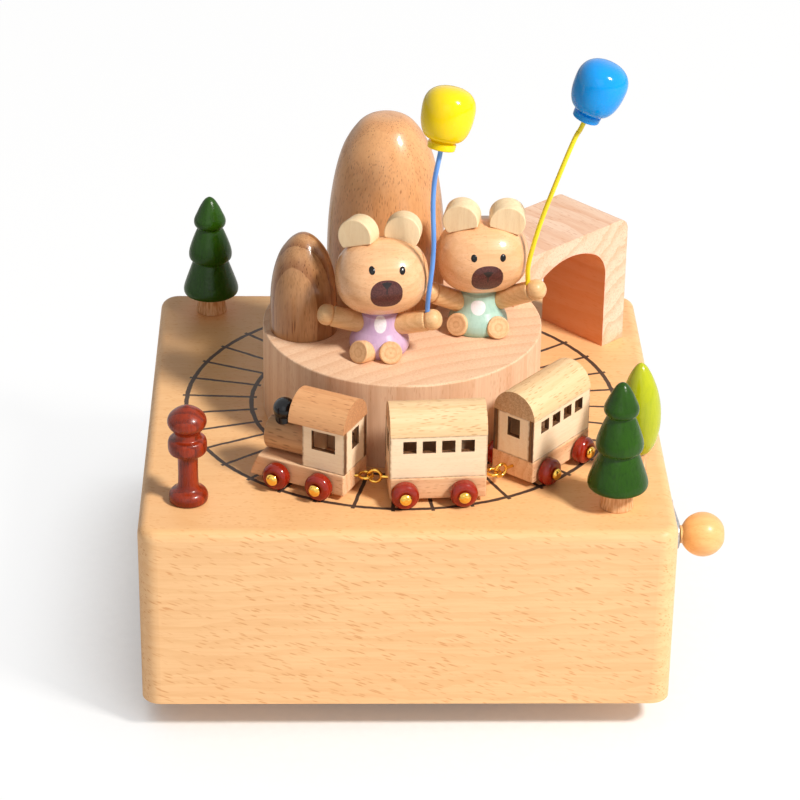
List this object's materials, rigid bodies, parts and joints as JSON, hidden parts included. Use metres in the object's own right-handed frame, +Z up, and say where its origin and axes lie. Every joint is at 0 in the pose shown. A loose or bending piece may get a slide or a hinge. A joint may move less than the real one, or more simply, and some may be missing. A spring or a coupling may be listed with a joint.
{
  "type": "hand cranked wooden music box",
  "caption": "Square wooden box with a side crank that turns a small toy train round two seated toy bears with balloons, domes, a tunnel and trees while it plays.",
  "frame": {"origin": "middle of the square base, on the underside of its flush bottom plate", "axes": "+Z up, +X towards the crank side, -Y towards the front, where the train stands"},
  "size_m": [0.134, 0.12, 0.1423],
  "materials": {
    "beech_base": "satin clear lacquer, long straight grain with short dark flecks",
    "plywood": "sanded plywood",
    "foot_wood": "sanded",
    "beech_platform": "fine sanded, thin clear lacquer",
    "dome_wood": "turned and polished, satin lacquer",
    "tunnel_wood": "fine sanded, thin clear lacquer",
    "pine_lacquer": "glossy dark green lacquer over turned wood",
    "leaf_lacquer": "glossy light green lacquer over turned wood",
    "red_stain": "glossy red-brown stain, grain showing through",
    "head_wood": "polished, clear gloss lacquer, printed face",
    "maple": "pale wood, satin",
    "limb_wood": "pale wood, satin lacquer",
    "lilac_paint": "satin lilac paint with a white printed oval",
    "mint_paint": "satin mint paint with a white printed oval",
    "yellow_gloss": "gloss yellow paint",
    "blue_gloss": "gloss blue paint",
    "wire_blue": "light blue coated wire",
    "wire_yellow": "yellow coated wire",
    "knob_wood": "turned, satin lacquer",
    "chassis_wood": "fine sanded, satin",
    "wall_wood": "thin wood panels with burnt laser-cut edges",
    "roof_wood": "fine sanded, satin",
    "boiler_wood": "fine sanded, satin",
    "black_gloss": "gloss black paint",
    "red_gloss": "gloss dark red lacquer",
    "brass": "polished",
    "steel": "plain steel",
    "cast_zinc": "as cast",
    "magnet": "nickel plated"
  },
  "bodies": {
    "box": {"base": "beech_base", "bottom_plate": "plywood", "bottom_screws": "steel", "feet": "foot_wood", "shaft_bush": "brass", "platform": "beech_platform", "large_dome": "dome_wood", "small_dome": "dome_wood", "tunnel_block": "tunnel_wood", "pine_trees": "pine_lacquer", "round_tree": "leaf_lacquer", "signal_post": "red_stain", "lilac_bear_head": "head_wood", "lilac_bear_ears": "maple", "lilac_bear_body": "lilac_paint", "lilac_bear_arms": "limb_wood", "lilac_bear_legs": "limb_wood", "mint_bear_head": "head_wood", "mint_bear_ears": "maple", "mint_bear_body": "mint_paint", "mint_bear_arms": "limb_wood", "mint_bear_legs": "limb_wood", "yellow_balloon": "yellow_gloss", "yellow_wire": "wire_blue", "blue_balloon": "blue_gloss", "blue_wire": "wire_yellow", "movement_bed": "cast_zinc", "comb": "steel", "comb_screws": "steel"},
    "magnet_carrier": {"spindle": "steel", "spindle_wheel": "brass", "magnet_arm": "brass", "arm_magnet": "magnet"},
    "crank": {"crank_shaft": "steel", "crank_arm": "steel", "knob_pin": "brass"},
    "crank_knob": {"knob": "knob_wood"},
    "pin_cylinder": {"cylinder": "brass", "cylinder_wheel": "brass"},
    "locomotive": {"loco_chassis": "chassis_wood", "loco_cab": "wall_wood", "loco_roof": "roof_wood", "loco_boiler": "boiler_wood", "loco_chimney": "black_gloss", "loco_magnet": "magnet", "loco_fasteners": "brass"},
    "coach_1": {"coach_1_chassis": "chassis_wood", "coach_1_walls": "wall_wood", "coach_1_roof": "roof_wood", "coach_1_fasteners": "brass"},
    "coach_2": {"coach_2_chassis": "chassis_wood", "coach_2_walls": "wall_wood", "coach_2_roof": "roof_wood", "coach_2_fasteners": "brass"},
    "loco_front_axle": {"loco_front_wheels": "red_gloss"},
    "loco_rear_axle": {"loco_rear_wheels": "red_gloss"},
    "coach_1_front_axle": {"coach_1_front_wheels": "red_gloss"},
    "coach_1_rear_axle": {"coach_1_rear_wheels": "red_gloss"},
    "coach_2_front_axle": {"coach_2_front_wheels": "red_gloss"},
    "coach_2_rear_axle": {"coach_2_rear_wheels": "red_gloss"}
  },
  "joints": [
    {"name": "carrier_spin", "type": "hinge", "parent": "box", "child": "magnet_carrier", "pos_m": [-0.0004, 0.0018, 0.02], "axis": [0, 0, 1], "continuous": true},
    {"name": "crank_spin", "type": "hinge", "parent": "box", "child": "crank", "pos_m": [0.05, -0.0132, 0.0235], "axis": [1, 0, 0], "continuous": true},
    {"name": "knob_spin", "type": "hinge", "parent": "crank", "child": "crank_knob", "pos_m": [0.0691, -0.03033, 0.02708], "axis": [1, 0, 0], "continuous": true},
    {"name": "cylinder_spin", "type": "hinge", "parent": "box", "child": "pin_cylinder", "pos_m": [0.014, -0.026, 0.0135], "axis": [0, 1, 0], "continuous": true},
    {"name": "locomotive_orbit", "type": "hinge", "parent": "box", "child": "locomotive", "pos_m": [-0.0004, 0.0018, 0.0448], "axis": [0, 0, 1], "continuous": true},
    {"name": "loco_front_roll", "type": "hinge", "parent": "locomotive", "child": "loco_front_axle", "pos_m": [-0.02616, -0.03355, 0.04805], "axis": [-0.4586, -0.8886, 0], "continuous": true},
    {"name": "loco_rear_roll", "type": "hinge", "parent": "locomotive", "child": "loco_rear_axle", "pos_m": [-0.01664, -0.03847, 0.04805], "axis": [-0.4586, -0.8886, 0], "continuous": true},
    {"name": "coach_1_orbit", "type": "hinge", "parent": "box", "child": "coach_1", "pos_m": [-0.0004, 0.0018, 0.0448], "axis": [0, 0, 1], "continuous": true},
    {"name": "coach_1_front_roll", "type": "hinge", "parent": "coach_1", "child": "coach_1_front_axle", "pos_m": [-0.0012, -0.04154, 0.04805], "axis": [0.075, -0.9972, 0], "continuous": true},
    {"name": "coach_1_rear_roll", "type": "hinge", "parent": "coach_1", "child": "coach_1_rear_axle", "pos_m": [0.01196, -0.04055, 0.04805], "axis": [0.075, -0.9972, 0], "continuous": true},
    {"name": "coach_2_orbit", "type": "hinge", "parent": "box", "child": "coach_2", "pos_m": [-0.0004, 0.0018, 0.0448], "axis": [0, 0, 1], "continuous": true},
    {"name": "coach_2_front_roll", "type": "hinge", "parent": "coach_2", "child": "coach_2_front_axle", "pos_m": [0.02664, -0.03325, 0.04805], "axis": [0.7694, -0.6388, 0], "continuous": true},
    {"name": "coach_2_rear_roll", "type": "hinge", "parent": "coach_2", "child": "coach_2_rear_axle", "pos_m": [0.03507, -0.02309, 0.04805], "axis": [0.7694, -0.6388, 0], "continuous": true}
  ],
  "couplings": [
    {"joint": "crank_spin", "follows": "carrier_spin", "ratio": 24},
    {"joint": "cylinder_spin", "follows": "carrier_spin", "ratio": 1.7143},
    {"joint": "locomotive_orbit", "follows": "carrier_spin", "ratio": 1},
    {"joint": "loco_front_roll", "follows": "carrier_spin", "ratio": -13.746},
    {"joint": "loco_rear_roll", "follows": "carrier_spin", "ratio": -13.746},
    {"joint": "coach_1_orbit", "follows": "carrier_spin", "ratio": 1},
    {"joint": "coach_1_front_roll", "follows": "carrier_spin", "ratio": -13.746},
    {"joint": "coach_1_rear_roll", "follows": "carrier_spin", "ratio": -13.746},
    {"joint": "coach_2_orbit", "follows": "carrier_spin", "ratio": 1},
    {"joint": "coach_2_front_roll", "follows": "carrier_spin", "ratio": -13.746},
    {"joint": "coach_2_rear_roll", "follows": "carrier_spin", "ratio": -13.746}
  ]
}
